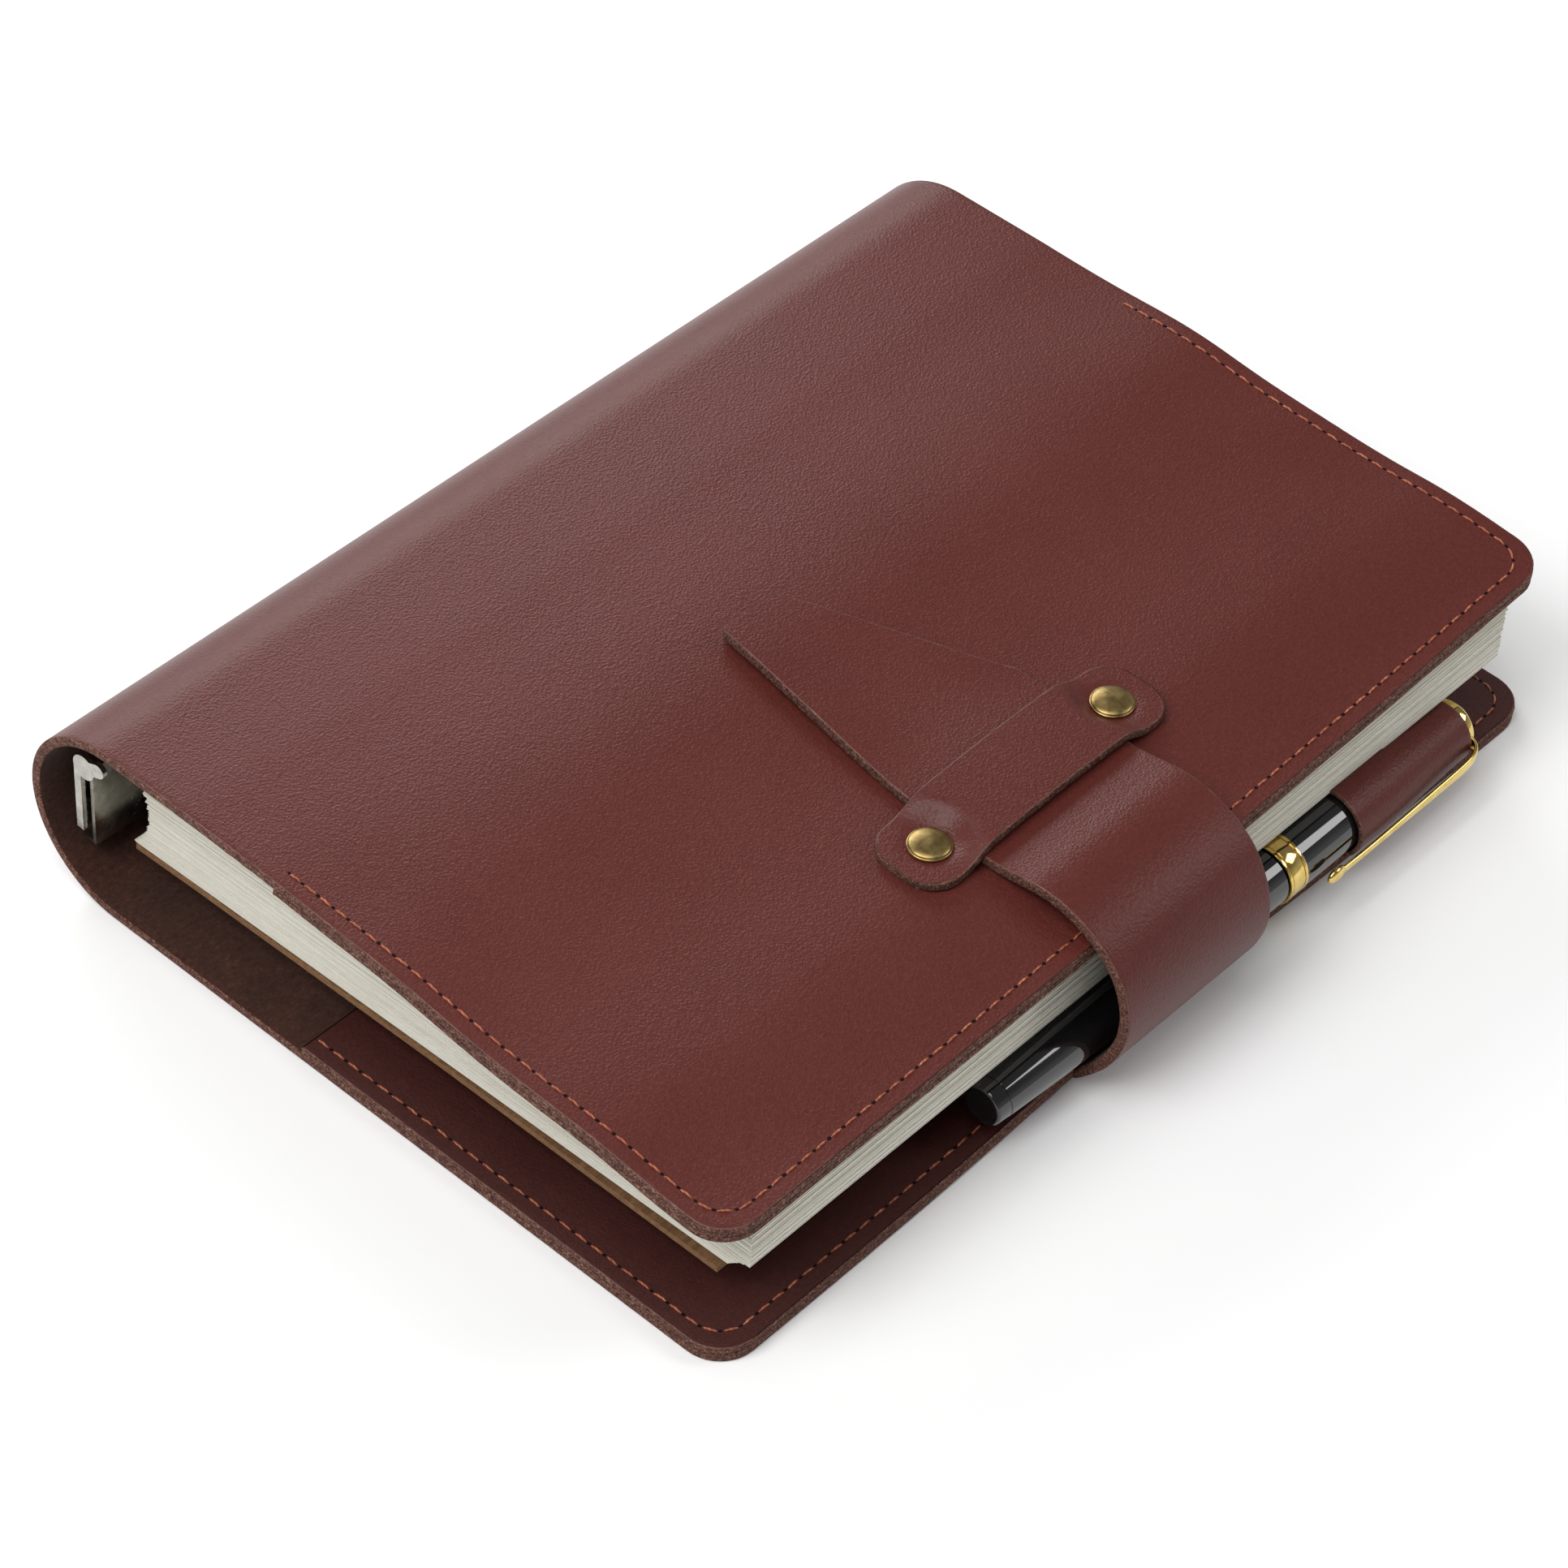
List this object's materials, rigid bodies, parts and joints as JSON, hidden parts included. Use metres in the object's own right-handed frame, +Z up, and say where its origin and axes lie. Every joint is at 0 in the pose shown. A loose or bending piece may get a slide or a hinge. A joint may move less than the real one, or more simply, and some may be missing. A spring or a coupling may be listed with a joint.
{
  "type": "leather ring-binder notebook cover",
  "caption": "Leather ring-binder notebook cover closed by a strap under a riveted keeper, with leaves on sprung rings and a capped pen in a side loop.",
  "frame": {"origin": "bottom centre of the box round the closed cover, lying flat on its back cover", "axes": "+Y along the spine, +X from the spine to the closing strap, +Z up through the front cover"},
  "size_m": [0.18, 0.23, 0.0412],
  "materials": {
    "cover_leather": "smooth oil-tanned leather, semi-matte, stitched in rust-orange thread",
    "pocket_leather": "smooth leather, semi-matte",
    "leaf_paper": "uncoated ivory paper",
    "kraft_board": "kraft board",
    "ring_steel": "bright nickel plate",
    "rivet_brass": "antique brass, brushed",
    "pen_lacquer": "gloss black lacquer",
    "pen_gold": "polished gold plate",
    "cartridge_plastic": "plain"
  },
  "bodies": {
    "root": {"back_cover": "cover_leather", "back_pocket": "pocket_leather", "pen_loop": "cover_leather", "strap_base": "cover_leather", "ring_plate": "ring_steel", "plate_rivets": "ring_steel", "back_divider": "kraft_board", "lower_leaves": "leaf_paper"},
    "front_cover": {"front_cover": "cover_leather", "front_pocket": "pocket_leather", "keeper": "cover_leather", "keeper_rivets": "rivet_brass"},
    "upper_leaves": {"upper_leaves": "leaf_paper"},
    "strap": {"strap": "cover_leather"},
    "upper_jaw": {"upper_blade": "ring_steel", "upper_ring_1": "ring_steel", "upper_ring_2": "ring_steel", "upper_ring_3": "ring_steel", "upper_ring_4": "ring_steel", "upper_ring_5": "ring_steel", "upper_ring_6": "ring_steel"},
    "lower_jaw": {"lower_blade": "ring_steel", "lower_ring_1": "ring_steel", "lower_ring_2": "ring_steel", "lower_ring_3": "ring_steel", "lower_ring_4": "ring_steel", "lower_ring_5": "ring_steel", "lower_ring_6": "ring_steel"},
    "tail_lever": {"tail_lever": "ring_steel"},
    "head_lever": {"head_lever": "ring_steel"},
    "pen_cap": {"pen_cap": "pen_lacquer", "cap_band": "pen_gold", "cap_finial": "pen_gold", "pen_clip": "pen_gold"},
    "pen_barrel": {"pen_barrel": "pen_lacquer", "tail_plug": "pen_lacquer", "grip_section": "pen_lacquer", "pen_nib": "pen_gold", "ink_cartridge": "cartridge_plastic"}
  },
  "joints": [
    {"name": "front_cover_hinge", "type": "hinge", "parent": "root", "child": "front_cover", "pos_m": [-0.08944, 0, 0.02597], "axis": [0, -1, 0], "range_deg": [0, 180]},
    {"name": "leaves_turn", "type": "hinge", "parent": "root", "child": "upper_leaves", "pos_m": [-0.0662, 0, 0.0186], "axis": [0, -1, 0], "range_deg": [0, 120], "deforming": ["upper_leaves"]},
    {"name": "strap_swing", "type": "hinge", "parent": "root", "child": "strap", "pos_m": [0.09015, -0.002, 0.016], "axis": [0, 1, 0], "range_deg": [0, 140], "deforming": ["strap"]},
    {"name": "ring_open", "type": "hinge", "parent": "root", "child": "upper_jaw", "pos_m": [-0.0828, 0, 0.0266], "axis": [0, -1, 0], "range_deg": [0, 11]},
    {"name": "lower_jaw_open", "type": "hinge", "parent": "root", "child": "lower_jaw", "pos_m": [-0.0828, 0, 0.0106], "axis": [0, 1, 0], "range_deg": [0, 11]},
    {"name": "tail_lever_turn", "type": "hinge", "parent": "root", "child": "tail_lever", "pos_m": [-0.081, -0.11, 0.0186], "axis": [0, 0, -1], "range_deg": [0, 16.5]},
    {"name": "head_lever_turn", "type": "hinge", "parent": "root", "child": "head_lever", "pos_m": [-0.081, 0.11, 0.0186], "axis": [0, 0, 1], "range_deg": [0, 16.5]},
    {"name": "pen_slide", "type": "slide", "parent": "root", "child": "pen_cap", "axis": [0, 1, 0], "range_m": [0, 0.14]},
    {"name": "pen_uncap", "type": "slide", "parent": "pen_cap", "child": "pen_barrel", "axis": [0, -1, 0], "range_m": [0, 0.055]}
  ],
  "couplings": [
    {"joint": "leaves_turn", "follows": "front_cover_hinge", "ratio": 0.66667},
    {"joint": "lower_jaw_open", "follows": "ring_open", "ratio": 1},
    {"joint": "tail_lever_turn", "follows": "ring_open", "ratio": 1.5},
    {"joint": "head_lever_turn", "follows": "ring_open", "ratio": 1.5}
  ]
}
